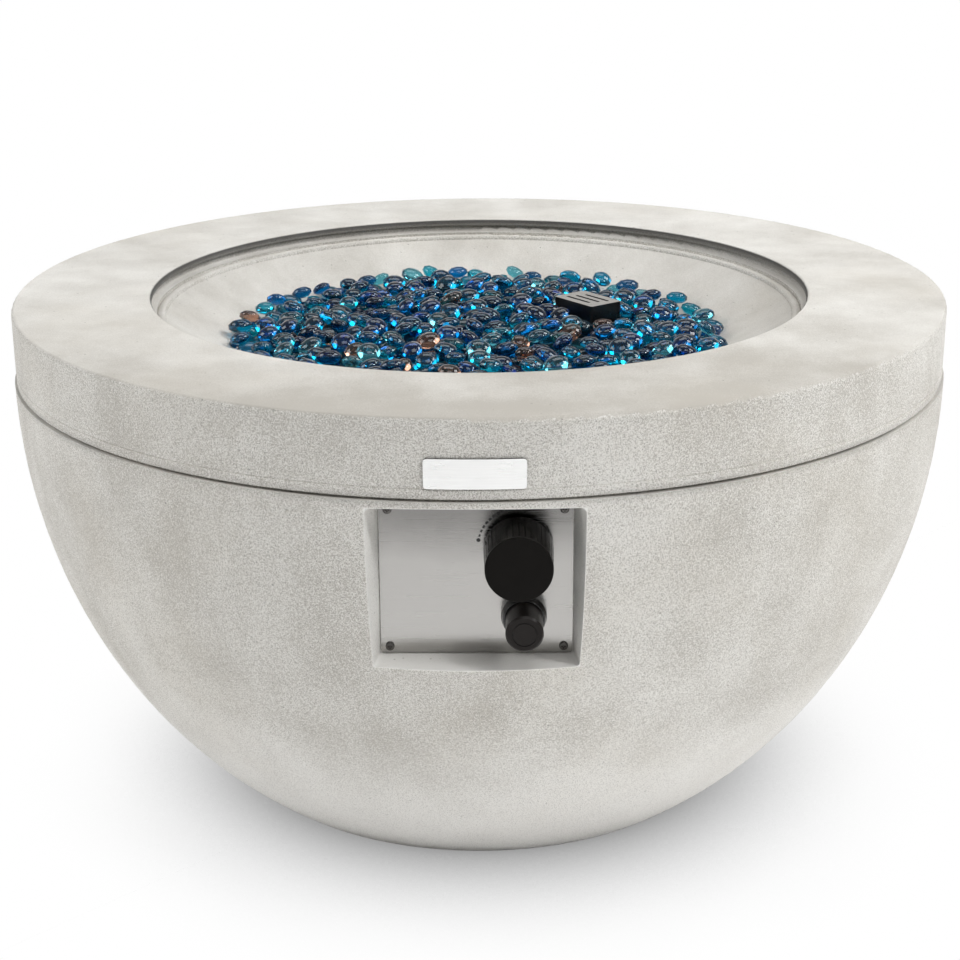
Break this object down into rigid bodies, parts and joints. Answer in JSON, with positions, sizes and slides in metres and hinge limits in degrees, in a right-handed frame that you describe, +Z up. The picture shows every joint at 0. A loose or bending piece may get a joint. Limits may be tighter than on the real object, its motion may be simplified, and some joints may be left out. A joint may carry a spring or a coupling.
{
  "type": "gas fire table",
  "caption": "Round bowl-shaped gas fire table in cast concrete, with a dish of glass beads over a ring burner and a recessed control plate with a turn knob and an igniter button.",
  "frame": {"origin": "on the floor, under the bowl's axis", "axes": "+Z up along the bowl's axis, -Y towards the front with the control plate, +X to its right"},
  "size_m": [0.7112, 0.7112, 0.388],
  "materials": {
    "cast_stone": "matt cast concrete, fine grain",
    "bead_glass": "glossy tinted pebbles",
    "steel": "satin",
    "brushed_plate": "brushed",
    "bright_plate": "satin",
    "black_screw": "black, half gloss",
    "black_plastic": "matt face, gloss side",
    "gloss_black": "gloss",
    "brass": "machined",
    "copper": "drawn",
    "soft_tube": "drawn",
    "cast_alloy": "die cast",
    "white_ceramic": "satin",
    "cell_sleeve": "plain sleeve",
    "wire_sleeve": "satin",
    "rubber": "matt"
  },
  "bodies": {
    "table": {"bowl_shell": "cast_stone", "fire_dish": "cast_stone", "fire_glass": "bead_glass", "guard_box": "steel", "control_plate": "brushed_plate", "plate_screws": "black_screw", "nameplate": "bright_plate", "igniter_collar": "gloss_black", "burner_pan": "steel", "burner_ring": "steel", "burner_nut": "brass", "air_mixer": "brass", "gas_injector": "brass", "supply_tube": "soft_tube", "valve_body": "cast_alloy", "stem_spring": "steel", "valve_nut": "steel", "safety_magnet": "brass", "inlet_fitting": "brass", "thermocouple": "steel", "thermocouple_lead": "copper", "electrode_ceramic": "white_ceramic", "electrode_rod": "steel", "pilot_bracket": "steel", "igniter_body": "gloss_black", "igniter_spring": "steel", "igniter_battery": "cell_sleeve", "igniter_terminals": "brass", "ignition_wire": "wire_sleeve", "hose_grommet": "rubber", "rubber_feet": "rubber"},
    "gas_plug": {"valve_plug": "brass"},
    "gas_knob": {"control_knob": "black_plastic", "valve_stem": "steel"},
    "ignition_button": {"igniter_button": "gloss_black"}
  },
  "joints": [
    {"name": "knob_turn", "type": "hinge", "parent": "table", "child": "gas_plug", "pos_m": [0.027, -0.285, 0.29], "axis": [0, -1, 0], "range_deg": [0, 240]},
    {"name": "knob_push", "type": "slide", "parent": "gas_plug", "child": "gas_knob", "axis": [0, 1, 0], "range_m": [0, 0.005], "stiffness_N_per_m": 600, "springref_m": -0.004, "deforming": ["stem_spring"]},
    {"name": "igniter_push", "type": "slide", "parent": "table", "child": "ignition_button", "axis": [0, 1, 0], "range_m": [0, 0.004], "stiffness_N_per_m": 500, "springref_m": -0.004, "deforming": ["igniter_spring"]}
  ]
}
